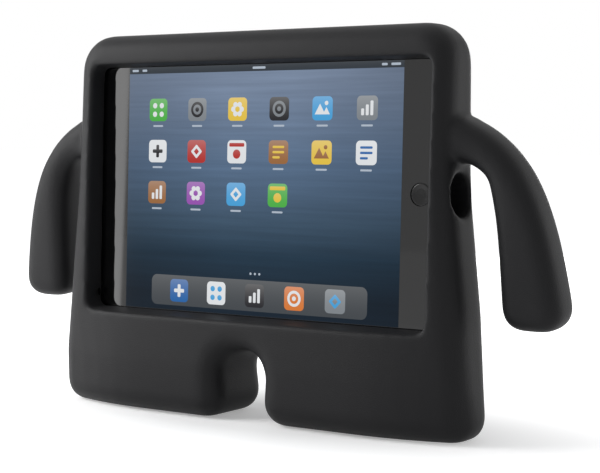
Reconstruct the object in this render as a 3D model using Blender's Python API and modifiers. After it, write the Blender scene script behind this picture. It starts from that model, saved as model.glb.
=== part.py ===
# Foam case for a child's tablet, with the tablet that it holds.
# Metres, +Z up. X runs along the case, the screen faces -Y, and the feet stand on z = 0.

import math

import bmesh
import bpy
from mathutils import Matrix, Vector
from mathutils.geometry import interpolate_bezier

# Tablet body, lying on its long side with the home button on the right
TABLET_LENGTH = 0.2001
TABLET_WIDTH = 0.1347
TABLET_THICKNESS = 0.0072
TABLET_CORNER = 0.0100
TABLET_LEAN = math.radians(2.17)
SCREEN_END_BORDER = 0.0198
SCREEN_SIDE_BORDER = 0.00715
SHELL_WALL = 0.0011
SHELL_BACK = 0.0009
SHELL_BACK_ROUND = 0.0025
SHELL_INNER_ROUND = 0.0008
FIT_GAP = 0.0003

# Pieces inside the tablet
GLASS_THICKNESS = 0.0010
PANEL_THICKNESS = 0.0016
PANEL_BORDER = 0.0023
BATTERY_THICKNESS = 0.0028
BATTERY_TO_BOARD = 0.00765
BATTERY_SIDE_MARGIN = 0.00725
BATTERY_GAP = 0.0020
BOARD_THICKNESS = 0.0010
BOARD_LENGTH = 0.0220
BOARD_SIDE_MARGIN = 0.02735
HOME_BUTTON_RADIUS = 0.0050
HOME_FLANGE_RADIUS = 0.0058
HOME_FLANGE_THICKNESS = 0.0005
HOME_DISH_DEPTH = 0.0004
HOME_TRAVEL = 0.0003
HOME_RECESS = 0.0001
HOME_SWITCH_SIZE = 0.0055
CAMERA_RADIUS = 0.0026
REAR_CAMERA_SIZE = 0.0085
REAR_LENS_RADIUS = 0.0032
REAR_COVER_RECESS = 0.0002
REAR_CAMERA_FROM_TOP = 0.0130
SPEAKER_LENGTH = 0.0046
SPEAKER_WIDTH = 0.0160
SPEAKER_FROM_MIDDLE = 0.0210
GRILLE_SLOTS = 6
GRILLE_PITCH = 0.0026
GRILLE_SLOT_SIZE = 0.0014
SOCKET_WIDTH = 0.0092
SOCKET_THICKNESS = 0.0033
SOCKET_LENGTH = 0.0044
SOCKET_WALL = 0.0004
SOCKET_TONGUE_THICKNESS = 0.0007
SOCKET_TONGUE_WIDTH = 0.0060
HEADPHONE_RADIUS = 0.0022
HEADPHONE_BORE_RADIUS = 0.00175
HEADPHONE_LENGTH = 0.0120
HEADPHONE_FROM_BOTTOM = 0.0140

# Edge buttons
BUTTON_PROUD = 0.0005
BUTTON_TRAVEL = 0.0003
BUTTON_THICKNESS = 0.0022
BUTTON_DEPTH = 0.0022
SLEEP_LENGTH = 0.0100
SLEEP_FROM_TOP = 0.0170
SLEEP_SWITCH_LENGTH = 0.0070
VOLUME_LENGTH = 0.0100
VOLUME_PITCH = 0.0130
MUTE_LENGTH = 0.0070
MUTE_TRAVEL = 0.0015
MUTE_FROM_LEFT = 0.0220
MUTE_TO_VOLUME = 0.0150
SWITCH_THICKNESS = 0.0015

# Foam case: walls around the tablet
BAY_CLEARANCE = 0.0004
SIDE_WALL = 0.0076
TOP_WALL = 0.0088
BASE_HEIGHT = 0.0423
LIP_OVER_ENDS = 0.0032
LIP_OVER_LONG_SIDES = 0.0072
LIP_FLARE = 0.145
LIP_CORNER = 0.0040
LIP_CORNER_GROWTH = 0.05
WINDOW_TO_HOME_BUTTON = 0.0011
WINDOW_REACH = 0.0300
WINDOW_OVERCUT = 0.0010

# Foam case: section at six heights above the floor, the last one at the crown
# (height, foam in front of the glass plane, foam behind the tablet's back, front round, rear round)
SOLE_SECTION = (0.0, 0.0140, 0.0216, 0.0100, 0.0070)
KNEE_SECTION = (0.0270, 0.0152, 0.0206, 0.0092, 0.0087)
HIP_SECTION = (0.0555, 0.0140, 0.0191, 0.0105, 0.0086)
WAIST_SECTION = (0.1025, 0.0118, 0.0130, 0.0104, 0.0080)
CHEST_SECTION = (0.1665, 0.0100, 0.0106, 0.0098, 0.0082)
CROWN_FRONT = 0.0089
CROWN_REAR = 0.0080
CROWN_FRONT_ROUND = 0.0095
CROWN_REAR_ROUND = 0.0070

# Foam case: outline and rounds
SHOULDER_ROUND = 0.0167
FLARE_START = 0.1180
FLARE_PER_SIDE = 0.0115
FLARE_ROUND = 0.2500
HEEL_ROUND = 0.0102
BOW_START = 0.0640
BOW_STRIPS = 5
FRONT_BOW = 0.0112
REAR_BOW = 0.0112
NOTCH_HEIGHT = 0.0340
NOTCH_TOP_HALF = 0.0148
NOTCH_FOOT_HALF = 0.0114
NOTCH_TOP_ROUND = 0.0120
INSTEP_ROUND = 0.0110
EDGE_SEGMENTS = 4

# Foam arms
ARM_TOP_ABOVE_SCREEN = 0.0370
ARM_UNDER_ABOVE_SCREEN = 0.0152
ARM_ROOT_OVERLAP = 0.0040
ARM_REACH = 0.0484
ARM_DROP = 0.0592
ARM_END_WIDTH = 0.0293
ARM_END_ROUND = 0.0095
ARM_OUTER_SHOULDER = (0.69, 0.13)
ARM_OUTER_ELBOW = (0.13, 0.57)
ARM_INNER_ELBOW = (0.07, 0.77)
ARM_INNER_SHOULDER = 0.97
ARM_DEPTH = 0.0235
ARM_EDGE_ROUND = 0.0078
ARM_ROOT_SETBACK = 0.0069
ARM_SWEEP = math.radians(4.7)

# Openings through the foam
CHARGE_HOLE_WIDTH = 0.0200
CHARGE_HOLE_DEPTH = 0.0180
CHARGE_HOLE_SETBACK = 0.0014
HEADPHONE_HOLE_RADIUS = 0.0065
CAMERA_HOLE_RADIUS = 0.0055
CAMERA_HOLE_FLARE = 0.40
KEY_POCKET_BREADTH = 0.0060
KEY_POCKET_CLEARANCE = 0.0015
KEY_POCKET_MARGIN = 0.0025

SCREEN_HEIGHT_ABOVE_FLOOR = BASE_HEIGHT + BAY_CLEARANCE + TABLET_WIDTH / 2
BAY_LENGTH = TABLET_LENGTH + 2 * BAY_CLEARANCE
BAY_WIDTH = TABLET_WIDTH + 2 * BAY_CLEARANCE
CROWN_HEIGHT = SCREEN_HEIGHT_ABOVE_FLOOR + BAY_WIDTH / 2 + TOP_WALL
CASE_HALF_LENGTH = BAY_LENGTH / 2 + SIDE_WALL
GLASS_AT_SOLE = -SCREEN_HEIGHT_ABOVE_FLOOR * math.tan(TABLET_LEAN)
SOLE_DEPTH = SOLE_SECTION[1] + TABLET_THICKNESS + SOLE_SECTION[2]
GLASS_Y = -SOLE_DEPTH / 2 + SOLE_SECTION[1] - GLASS_AT_SOLE

# Depths inside the tablet, from the front of the glass
PANEL_FRONT = GLASS_THICKNESS + FIT_GAP
CELL_FRONT = PANEL_FRONT + PANEL_THICKNESS + FIT_GAP
INNER_BACK = TABLET_THICKNESS - SHELL_BACK - FIT_GAP
KEY_DEPTH = (PANEL_FRONT + INNER_BACK) / 2
INNER_HALF_LENGTH = TABLET_LENGTH / 2 - SHELL_WALL
INNER_HALF_WIDTH = TABLET_WIDTH / 2 - SHELL_WALL

# Screen and inner pieces, sized from the tablet around them
SCREEN_LENGTH = TABLET_LENGTH - 2 * SCREEN_END_BORDER
SCREEN_WIDTH = TABLET_WIDTH - 2 * SCREEN_SIDE_BORDER
BORDER_MIDDLE = (TABLET_LENGTH - SCREEN_END_BORDER) / 2
BATTERY_LENGTH = INNER_HALF_LENGTH - FIT_GAP - BOARD_LENGTH - BATTERY_TO_BOARD - BATTERY_GAP / 2
BATTERY_WIDTH = 2 * (INNER_HALF_WIDTH - BATTERY_SIDE_MARGIN)
BOARD_WIDTH = TABLET_WIDTH - 2 * BOARD_SIDE_MARGIN


# Scene and materials

def clear_scene():
    for old in list(bpy.data.objects):
        bpy.data.objects.remove(old, do_unlink=True)


def make_collection(name):
    group = bpy.data.collections.new(name)
    bpy.context.scene.collection.children.link(group)
    return group


def make_material(name, colour, roughness, metallic=0.0):
    material = bpy.data.materials.new(name)
    material.use_nodes = True
    shader = material.node_tree.nodes["Principled BSDF"]
    shader.inputs["Base Color"].default_value = (*colour, 1.0)
    shader.inputs["Roughness"].default_value = roughness
    shader.inputs["Metallic"].default_value = metallic
    material.diffuse_color = (*colour, 1.0)
    return material


def add_object(name, bm, group, material=None, parent=None, location=(0.0, 0.0, 0.0)):
    mesh = bpy.data.meshes.new(name)
    bmesh.ops.recalc_face_normals(bm, faces=bm.faces)
    bm.to_mesh(mesh)
    bm.free()
    if material:
        mesh.materials.append(material)
    item = bpy.data.objects.new(name, mesh)
    item.parent = parent
    item.location = location
    group.objects.link(item)
    return item


def add_cutter(name, bm, parent=None, location=(0.0, 0.0, 0.0)):
    cutter = add_object(name, bm, cutters, parent=parent, location=location)
    cutter.hide_render = True
    cutter.display_type = "WIRE"
    return cutter


def boolean(item, operand, operation="DIFFERENCE"):
    step = item.modifiers.new(operand.name, "BOOLEAN")
    step.operation = operation
    step.object = operand


def smooth(item, angle=math.radians(35)):
    item.data.shade_smooth()
    item.data.set_sharp_from_angle(angle=angle)


# Outlines in the plane of X and Z

def corner_arc(before, corner, after, radius, steps):
    """Points of the arc that rounds one corner of an outline."""
    if radius == 0.0:
        return [corner]
    to_before = (before - corner).normalized()
    to_after = (after - corner).normalized()
    half_angle = to_before.angle(to_after) / 2
    centre = corner + (to_before + to_after).normalized() * (radius / math.sin(half_angle))
    spoke = corner + to_before * (radius / math.tan(half_angle)) - centre
    turn = math.pi - 2 * half_angle
    if to_before.x * to_after.y - to_before.y * to_after.x > 0.0:
        turn = -turn
    return [centre + Matrix.Rotation(turn * step / steps, 2) @ spoke for step in range(steps + 1)]


def rounded_outline(corners, steps):
    """An outline from corners given as (x, z, radius)."""
    points = [Vector((x, z)) for x, z, radius in corners]
    outline = []
    for index, (x, z, radius) in enumerate(corners):
        before = points[index - 1]
        after = points[(index + 1) % len(points)]
        outline += corner_arc(before, points[index], after, radius, steps)
    return outline


def rounded_rectangle(half_length, half_width, radius, steps=5):
    return rounded_outline([
        (-half_length, -half_width, radius),
        (half_length, -half_width, radius),
        (half_length, half_width, radius),
        (-half_length, half_width, radius),
    ], steps)


# Solids

def extrude_outline(outline, front, back):
    """A plate of the given outline, from y = front to y = back."""
    bm = bmesh.new()
    face = bm.faces.new([bm.verts.new((point.x, front, point.y)) for point in outline])
    extruded = bmesh.ops.extrude_face_region(bm, geom=[face])["geom"]
    moved = [part for part in extruded if isinstance(part, bmesh.types.BMVert)]
    bmesh.ops.translate(bm, verts=moved, vec=(0.0, back - front, 0.0))
    return bm


def round_edges(bm, depth, radius, segments, plain_end=None):
    """Round a plate's edges in the plane y = depth, but for an end that stays plain at one x."""
    tolerance = 1e-6
    rim = [
        edge for edge in bm.edges
        if all(abs(corner.co.y - depth) < tolerance for corner in edge.verts)
    ]
    if plain_end is not None:
        rim = [
            edge for edge in rim
            if any(abs(corner.co.x - plain_end) > tolerance for corner in edge.verts)
        ]
    bmesh.ops.bevel(
        bm, geom=rim, offset=radius, segments=segments, profile=0.5,
        affect="EDGES", material=-1, clamp_overlap=False,
    )


def block(size_x, size_y, size_z):
    bm = bmesh.new()
    bmesh.ops.create_cube(bm, size=1.0, matrix=Matrix.Diagonal((size_x, size_y, size_z, 1.0)))
    return bm


def rod(radius, length, axis, far_radius=None, segments=24):
    """A cylinder or cone of the given length, centred, along X, Y or Z."""
    turns = {
        "X": Matrix.Rotation(math.pi / 2, 4, "Y"),
        "Y": Matrix.Rotation(-math.pi / 2, 4, "X"),
        "Z": Matrix.Identity(4),
    }
    bm = bmesh.new()
    bmesh.ops.create_cone(
        bm, cap_ends=True, segments=segments, radius1=radius,
        radius2=radius if far_radius is None else far_radius, depth=length, matrix=turns[axis],
    )
    return bm


def frustum(near_outline, near_depth, far_outline, far_depth):
    """A solid between two outlines that have as many points."""
    bm = bmesh.new()
    rims = []
    for outline, depth in ((near_outline, near_depth), (far_outline, far_depth)):
        cap = bm.faces.new([bm.verts.new((point.x, depth, point.y)) for point in outline])
        rims += cap.edges
    bmesh.ops.bridge_loops(bm, edges=rims)
    return bm


# Foam case

def case_sections():
    """Sections of the foam by height: (height, front y, rear y, front round, rear round)."""
    crown = (CROWN_HEIGHT, CROWN_FRONT, CROWN_REAR, CROWN_FRONT_ROUND, CROWN_REAR_ROUND)
    sections = []
    for height, front, rear, front_round, rear_round in (
        SOLE_SECTION, KNEE_SECTION, HIP_SECTION, WAIST_SECTION, CHEST_SECTION, crown,
    ):
        glass = GLASS_Y + (height - SCREEN_HEIGHT_ABOVE_FLOOR) * math.tan(TABLET_LEAN)
        back = glass + TABLET_THICKNESS
        sections.append(Vector((height, glass - front, back + rear, front_round, rear_round)))
    return sections


def section_at(height, sections):
    """The section at one height, between the two nearest given ones."""
    for lower, upper in zip(sections, sections[1:]):
        if height <= upper[0] or upper is sections[-1]:
            share = min(max((height - lower[0]) / (upper[0] - lower[0]), 0.0), 1.0)
            return lower.lerp(upper, share)


def bow_at(across, height):
    """How far the foam falls back from its full depth, 0 to 1: towards the outer end of each foot."""
    outward = max(abs(across) - BOW_START, 0.0) / (CASE_HALF_LENGTH + FLARE_PER_SIDE - BOW_START)
    downward = max(1.0 - height / FLARE_START, 0.0)
    return outward ** 2 * downward


def case_outline():
    half_foot = CASE_HALF_LENGTH + FLARE_PER_SIDE
    half = [
        (CASE_HALF_LENGTH, CROWN_HEIGHT, SHOULDER_ROUND),
        (CASE_HALF_LENGTH, FLARE_START, FLARE_ROUND),
        (half_foot, 0.0, HEEL_ROUND),
        (NOTCH_FOOT_HALF, 0.0, INSTEP_ROUND),
        (NOTCH_TOP_HALF, NOTCH_HEIGHT, NOTCH_TOP_ROUND),
    ]
    mirrored = [(-x, z, radius) for x, z, radius in reversed(half)]
    return rounded_outline(half + mirrored, 6)


def nearest_on_outline(point, outline):
    best = outline[0]
    for start, end in zip(outline, outline[1:] + outline[:1]):
        run = end - start
        share = min(max((point - start).dot(run) / max(run.length_squared, 1e-12), 0.0), 1.0)
        foot = start + run * share
        if (foot - point).length < (best - point).length:
            best = foot
    return best


def torso():
    """The frame and feet, as a plate whose edges are rounded and whose depth follows its height."""
    outline = case_outline()
    sections = case_sections()
    half_depth = 2 * CROWN_FRONT_ROUND
    bm = extrude_outline(outline, -half_depth, half_depth)
    for side in (-half_depth, half_depth):
        round_edges(bm, side, CROWN_FRONT_ROUND, EDGE_SEGMENTS)
    cuts = [((0.0, 0.0, section[0]), (0.0, 0.0, 1.0)) for section in sections[1:-1]]
    strip = (CASE_HALF_LENGTH + FLARE_PER_SIDE - BOW_START) / BOW_STRIPS
    for index in range(BOW_STRIPS):
        across = BOW_START + index * strip
        cuts += [((side * across, 0.0, 0.0), (1.0, 0.0, 0.0)) for side in (-1, 1)]
    for place, normal in cuts:
        geometry = bm.verts[:] + bm.edges[:] + bm.faces[:]
        bmesh.ops.bisect_plane(bm, geom=geometry, plane_co=place, plane_no=normal)
    for corner in bm.verts:
        in_front = corner.co.y < 0.0
        place = Vector((corner.co.x, corner.co.z))
        rim = nearest_on_outline(place, outline)
        edge_round = section_at(place.y, sections)[3 if in_front else 4]
        place = rim + (place - rim) * (edge_round / CROWN_FRONT_ROUND)
        height, front, rear, front_round, rear_round = section_at(place.y, sections)
        inward = (half_depth - abs(corner.co.y)) / CROWN_FRONT_ROUND
        bow = bow_at(place.x, place.y)
        depth = front + inward * front_round if in_front else rear - inward * rear_round
        depth += bow * (FRONT_BOW if in_front else -REAR_BOW)
        corner.co = (place.x, depth, place.y)
    bmesh.ops.triangulate(bm, faces=bm.faces)
    return bm


def arm_outline():
    """The right arm seen from the front: two curves from the frame's side down to a round end."""
    root = CASE_HALF_LENGTH - ARM_ROOT_OVERLAP
    top = SCREEN_HEIGHT_ABOVE_FLOOR + ARM_TOP_ABOVE_SCREEN
    under = SCREEN_HEIGHT_ABOVE_FLOOR + ARM_UNDER_ABOVE_SCREEN
    end_outer = CASE_HALF_LENGTH + ARM_REACH
    end_inner = end_outer - ARM_END_WIDTH
    end = SCREEN_HEIGHT_ABOVE_FLOOR - ARM_DROP
    elbow = end + ARM_END_ROUND
    reach = end_outer - root
    inner_reach = end_inner - root
    outer = interpolate_bezier(
        Vector((root, top)),
        Vector((root + ARM_OUTER_SHOULDER[0] * reach, top - ARM_OUTER_SHOULDER[1] * (top - elbow))),
        Vector((end_outer - ARM_OUTER_ELBOW[0] * reach, elbow + ARM_OUTER_ELBOW[1] * (top - elbow))),
        Vector((end_outer, elbow)),
        14,
    )
    inner = interpolate_bezier(
        Vector((end_inner, elbow)),
        Vector((end_inner - ARM_INNER_ELBOW[0] * inner_reach, elbow + ARM_INNER_ELBOW[1] * (under - elbow))),
        Vector((root + ARM_INNER_SHOULDER * inner_reach, under)),
        Vector((root, under)),
        12,
    )
    outer_corner = corner_arc(
        Vector((end_outer, elbow)), Vector((end_outer, end)), Vector((end_inner, end)), ARM_END_ROUND, 5)
    inner_corner = corner_arc(
        Vector((end_outer, end)), Vector((end_inner, end)), Vector((end_inner, elbow)), ARM_END_ROUND, 5)
    points = outer[:-1] + outer_corner + inner_corner + inner[1:]
    return [Vector(point[:2]) for point in points]


def arms():
    bm = extrude_outline(arm_outline(), -ARM_DEPTH / 2, ARM_DEPTH / 2)
    for side in (-ARM_DEPTH / 2, ARM_DEPTH / 2):
        round_edges(bm, side, ARM_EDGE_ROUND, EDGE_SEGMENTS, CASE_HALF_LENGTH - ARM_ROOT_OVERLAP)
    root_height = SCREEN_HEIGHT_ABOVE_FLOOR + (ARM_TOP_ABOVE_SCREEN + ARM_UNDER_ABOVE_SCREEN) / 2
    root = Vector((0.0, 0.0, root_height))
    bmesh.ops.rotate(bm, verts=bm.verts, cent=root, matrix=Matrix.Rotation(ARM_SWEEP, 3, "X"))
    bmesh.ops.translate(bm, verts=bm.verts, vec=(0.0, GLASS_Y + ARM_ROOT_SETBACK, 0.0))
    bmesh.ops.triangulate(bm, faces=bm.faces)
    right = add_cutter("arms", bm)
    mirror = right.modifiers.new("both_sides", "MIRROR")
    mirror.merge_threshold = 0.0001
    return right


def tablet_bay():
    outline = rounded_rectangle(BAY_LENGTH / 2, BAY_WIDTH / 2, TABLET_CORNER + BAY_CLEARANCE)
    bm = extrude_outline(outline, -BAY_CLEARANCE, TABLET_THICKNESS + BAY_CLEARANCE)
    return add_cutter("tablet_bay", bm, tablet)


def window():
    """The opening over the screen, whose foam lip runs outward to the front."""
    near = BAY_CLEARANCE + WINDOW_OVERCUT

    def rim(depth):
        grown = LIP_FLARE * depth
        return rounded_rectangle(
            TABLET_LENGTH / 2 - LIP_OVER_ENDS + grown,
            TABLET_WIDTH / 2 - LIP_OVER_LONG_SIDES + grown,
            LIP_CORNER + LIP_CORNER_GROWTH * depth,
        )

    opening = frustum(rim(-near), near, rim(WINDOW_REACH), -WINDOW_REACH)
    return add_cutter("window", opening, tablet, (WINDOW_TO_HOME_BUTTON, 0.0, 0.0))


def key_places():
    """Places of the mute slider and volume buttons along the upper side of the tablet."""
    mute = -TABLET_LENGTH / 2 + MUTE_FROM_LEFT
    volume_up = mute + MUTE_TO_VOLUME
    return mute, volume_up, volume_up + VOLUME_PITCH


def foam_openings():
    """Cutters for what has to be reached through the foam."""
    through = 2 * SIDE_WALL + FLARE_PER_SIDE
    right_wall = (BAY_LENGTH + SIDE_WALL + FLARE_PER_SIDE) / 2
    charge = rod(CHARGE_HOLE_WIDTH / 2, through, "X", segments=32)
    bmesh.ops.scale(charge, verts=charge.verts, vec=(1.0, CHARGE_HOLE_DEPTH / CHARGE_HOLE_WIDTH, 1.0))
    mute, volume_up, volume_down = key_places()
    key_left = mute - MUTE_LENGTH / 2 - KEY_POCKET_MARGIN
    key_right = volume_down + VOLUME_LENGTH / 2 + KEY_POCKET_MARGIN
    pocket = 2 * (BUTTON_PROUD + KEY_POCKET_CLEARANCE)
    camera_x, camera_z = rear_camera_place()
    wall = SOLE_SECTION[2]
    camera = rod(CAMERA_HOLE_RADIUS, wall, "Y", CAMERA_HOLE_RADIUS + CAMERA_HOLE_FLARE * wall, segments=32)
    sleep_z = TABLET_WIDTH / 2 - SLEEP_FROM_TOP
    headphone_z = HEADPHONE_FROM_BOTTOM - TABLET_WIDTH / 2
    middle = TABLET_THICKNESS / 2
    return [
        add_cutter("charge_hole", charge, tablet, (right_wall, middle + CHARGE_HOLE_SETBACK, 0.0)),
        add_cutter("headphone_hole", rod(HEADPHONE_HOLE_RADIUS, through, "X"), tablet,
                   (-right_wall, middle, headphone_z)),
        add_cutter("sleep_pocket", block(pocket, KEY_POCKET_BREADTH, SLEEP_LENGTH + 2 * KEY_POCKET_MARGIN),
                   tablet, (-TABLET_LENGTH / 2, middle, sleep_z)),
        add_cutter("key_pocket", block(key_right - key_left, KEY_POCKET_BREADTH, pocket), tablet,
                   ((key_left + key_right) / 2, middle, TABLET_WIDTH / 2)),
        add_cutter("camera_hole", camera, tablet,
                   (camera_x, TABLET_THICKNESS + wall / 2, camera_z)),
    ]


def foam_case():
    body = add_object("case_body", torso(), parts, foam)
    boolean(body, arms(), "UNION")
    boolean(body, tablet_bay())
    boolean(body, window())
    for opening in foam_openings():
        boolean(body, opening)
    smooth(body)


# Tablet: shell, glass and screen

def rear_camera_place():
    return -BORDER_MIDDLE, TABLET_WIDTH / 2 - REAR_CAMERA_FROM_TOP


def rear_shell():
    outline = rounded_rectangle(TABLET_LENGTH / 2, TABLET_WIDTH / 2, TABLET_CORNER, 6)
    bm = extrude_outline(outline, 0.0, TABLET_THICKNESS)
    round_edges(bm, TABLET_THICKNESS, SHELL_BACK_ROUND, 3)
    shell = add_object("tablet_rear_shell", bm, parts, dark_metal, tablet)
    inner = rounded_rectangle(INNER_HALF_LENGTH, INNER_HALF_WIDTH, TABLET_CORNER - SHELL_WALL, 6)
    hollow = extrude_outline(inner, -SHELL_WALL, TABLET_THICKNESS - SHELL_BACK)
    round_edges(hollow, TABLET_THICKNESS - SHELL_BACK, SHELL_INNER_ROUND, 2)
    boolean(shell, add_cutter("shell_hollow", hollow, tablet))
    cuts = []
    reach = 4 * SHELL_WALL
    camera_x, camera_z = rear_camera_place()
    cuts.append(add_cutter("shell_camera_hole", rod(REAR_LENS_RADIUS + FIT_GAP, reach, "Y"), tablet,
                           (camera_x, TABLET_THICKNESS, camera_z)))
    cuts.append(add_cutter("shell_socket_slot", block(reach, SOCKET_THICKNESS, SOCKET_WIDTH), tablet,
                           (TABLET_LENGTH / 2, INNER_BACK - SOCKET_THICKNESS / 2, 0.0)))
    cuts.append(add_cutter("shell_headphone_hole", rod(HEADPHONE_BORE_RADIUS, reach, "X", segments=16),
                           tablet, (-TABLET_LENGTH / 2, KEY_DEPTH, HEADPHONE_FROM_BOTTOM - TABLET_WIDTH / 2)))
    grown = BUTTON_THICKNESS + 2 * FIT_GAP
    cuts.append(add_cutter("shell_sleep_slot", block(reach, grown, SLEEP_LENGTH + 2 * FIT_GAP), tablet,
                           (-TABLET_LENGTH / 2, KEY_DEPTH, TABLET_WIDTH / 2 - SLEEP_FROM_TOP)))
    mute, volume_up, volume_down = key_places()
    for name, place, length in (
        ("mute", mute + MUTE_TRAVEL / 2, MUTE_LENGTH + MUTE_TRAVEL),
        ("volume_up", volume_up, VOLUME_LENGTH),
        ("volume_down", volume_down, VOLUME_LENGTH),
    ):
        cuts.append(add_cutter("shell_" + name + "_slot", block(length + 2 * FIT_GAP, grown, reach),
                               tablet, (place, KEY_DEPTH, TABLET_WIDTH / 2)))
    for side in (-1, 1):
        for index in range(GRILLE_SLOTS):
            along = side * SPEAKER_FROM_MIDDLE + (index - (GRILLE_SLOTS - 1) / 2) * GRILLE_PITCH
            cuts.append(add_cutter("grille_slot_%d" % len(cuts),
                                   block(reach, GRILLE_SLOT_SIZE, GRILLE_SLOT_SIZE), tablet,
                                   (TABLET_LENGTH / 2, KEY_DEPTH, along)))
    for cut in cuts:
        boolean(shell, cut)
    smooth(shell)


def front_glass():
    outline = rounded_rectangle(
        INNER_HALF_LENGTH - FIT_GAP, INNER_HALF_WIDTH - FIT_GAP, TABLET_CORNER - SHELL_WALL - FIT_GAP, 6)
    glass = add_object("front_glass", extrude_outline(outline, 0.0, GLASS_THICKNESS), parts, black_glass, tablet)
    hole = rod(HOME_BUTTON_RADIUS + FIT_GAP, 4 * GLASS_THICKNESS, "Y", segments=40)
    boolean(glass, add_cutter("home_hole", hole, tablet, (BORDER_MIDDLE, 0.0, 0.0)))


def display_panel():
    outline = rounded_rectangle(
        SCREEN_LENGTH / 2 + PANEL_BORDER, SCREEN_WIDTH / 2 + PANEL_BORDER, PANEL_BORDER, 2)
    panel = extrude_outline(outline, PANEL_FRONT, PANEL_FRONT + PANEL_THICKNESS)
    add_object("display_panel", panel, parts, screen, tablet)


# Tablet: home button and edge buttons

def turned(name, profile, material, location, steps):
    """A piece turned about the depth axis from (radius, depth) points."""
    bm = bmesh.new()
    corners = [bm.verts.new((radius, 0.0, -depth)) for radius, depth in profile]
    for first, second in zip(corners, corners[1:]):
        bm.edges.new((first, second))
    bmesh.ops.spin(
        bm, geom=bm.verts[:] + bm.edges[:], axis=(0.0, 0.0, 1.0), cent=(0.0, 0.0, 0.0),
        angle=2 * math.pi, steps=steps, use_merge=True,
    )
    bmesh.ops.remove_doubles(bm, verts=bm.verts, dist=1e-6)
    bmesh.ops.rotate(bm, verts=bm.verts, matrix=Matrix.Rotation(math.pi / 2, 3, "X"))
    piece = add_object(name, bm, parts, material, tablet, location)
    smooth(piece)


def home_button():
    flange_front = GLASS_THICKNESS + FIT_GAP - HOME_RECESS
    flange_back = flange_front + HOME_FLANGE_THICKNESS
    profile = [
        (0.0, HOME_DISH_DEPTH),
        (HOME_BUTTON_RADIUS * 0.55, HOME_DISH_DEPTH * 0.75),
        (HOME_BUTTON_RADIUS * 0.93, 0.0),
        (HOME_BUTTON_RADIUS, HOME_DISH_DEPTH * 0.4),
        (HOME_BUTTON_RADIUS, flange_front),
        (HOME_FLANGE_RADIUS, flange_front),
        (HOME_FLANGE_RADIUS, flange_back),
        (0.0, flange_back),
    ]
    turned("home_button", profile, black_plastic, (BORDER_MIDDLE, HOME_RECESS, 0.0), 32)
    switch_front = HOME_RECESS + flange_back + HOME_TRAVEL + FIT_GAP
    switch_depth = INNER_BACK - switch_front
    add_object("home_button_switch", block(HOME_SWITCH_SIZE, switch_depth, HOME_SWITCH_SIZE), parts,
               steel, tablet, (BORDER_MIDDLE, switch_front + switch_depth / 2, 0.0))


def edge_key(length, along_x):
    """One edge button with softened outer edges, centred on its slot."""
    if along_x:
        bm = block(length, BUTTON_THICKNESS, BUTTON_DEPTH)
    else:
        bm = block(BUTTON_DEPTH, BUTTON_THICKNESS, length)
    bmesh.ops.bevel(bm, geom=bm.edges[:], offset=0.0003, segments=1, profile=0.5,
                    affect="EDGES", material=-1)
    return bm


def edge_buttons():
    half_length = TABLET_LENGTH / 2
    half_width = TABLET_WIDTH / 2
    set_in = BUTTON_DEPTH / 2 - BUTTON_PROUD
    sleep_z = half_width - SLEEP_FROM_TOP
    add_object("sleep_button", edge_key(SLEEP_LENGTH, False), parts, dark_metal, tablet,
               (-half_length + set_in, KEY_DEPTH, sleep_z))
    mute, volume_up, volume_down = key_places()
    for name, place, length in (
        ("mute_slider", mute, MUTE_LENGTH),
        ("volume_up_button", volume_up, VOLUME_LENGTH),
        ("volume_down_button", volume_down, VOLUME_LENGTH),
    ):
        add_object(name, edge_key(length, True), parts, dark_metal, tablet,
                   (place, KEY_DEPTH, half_width - set_in))
    behind = BUTTON_DEPTH - BUTTON_PROUD + BUTTON_TRAVEL + FIT_GAP + SWITCH_THICKNESS / 2
    add_object("sleep_switch", block(SWITCH_THICKNESS, INNER_BACK - PANEL_FRONT, SLEEP_SWITCH_LENGTH), parts,
               steel, tablet, (-half_length + behind, KEY_DEPTH, sleep_z))
    strip_left = mute - MUTE_LENGTH / 2
    strip_right = volume_down + VOLUME_LENGTH / 2
    add_object("side_switch_strip", block(strip_right - strip_left, INNER_BACK - PANEL_FRONT, SWITCH_THICKNESS),
               parts, steel, tablet, ((strip_left + strip_right) / 2, KEY_DEPTH, half_width - behind))


# Tablet: inner pieces

def batteries():
    depth = CELL_FRONT + BATTERY_THICKNESS / 2
    offset = (BATTERY_LENGTH + BATTERY_GAP) / 2
    for name, side in (("battery_left", -1), ("battery_right", 1)):
        bm = block(BATTERY_LENGTH, BATTERY_THICKNESS, BATTERY_WIDTH)
        add_object(name, bm, parts, pouch, tablet, (side * offset, depth, 0.0))


def logic_board():
    left = -INNER_HALF_LENGTH + FIT_GAP
    bm = block(BOARD_LENGTH, BOARD_THICKNESS, BOARD_WIDTH)
    add_object("logic_board", bm, parts, board, tablet,
               (left + BOARD_LENGTH / 2, INNER_BACK - BOARD_THICKNESS / 2, 0.0))


def cameras():
    front = PANEL_FRONT
    back = INNER_BACK - BOARD_THICKNESS - FIT_GAP
    add_object("front_camera", rod(CAMERA_RADIUS, back - front, "Y"), parts, black_plastic, tablet,
               (-BORDER_MIDDLE, (front + back) / 2, 0.0))
    place_x, place_z = rear_camera_place()
    cover_front = INNER_BACK + FIT_GAP
    cover_back = TABLET_THICKNESS - REAR_COVER_RECESS
    add_object("rear_camera", block(REAR_CAMERA_SIZE, INNER_BACK - front, REAR_CAMERA_SIZE), parts,
               black_plastic, tablet, (place_x, (front + INNER_BACK) / 2, place_z))
    add_object("rear_camera_cover", rod(REAR_LENS_RADIUS, cover_back - cover_front, "Y"), parts,
               black_glass, tablet, (place_x, (cover_front + cover_back) / 2, place_z))


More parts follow.
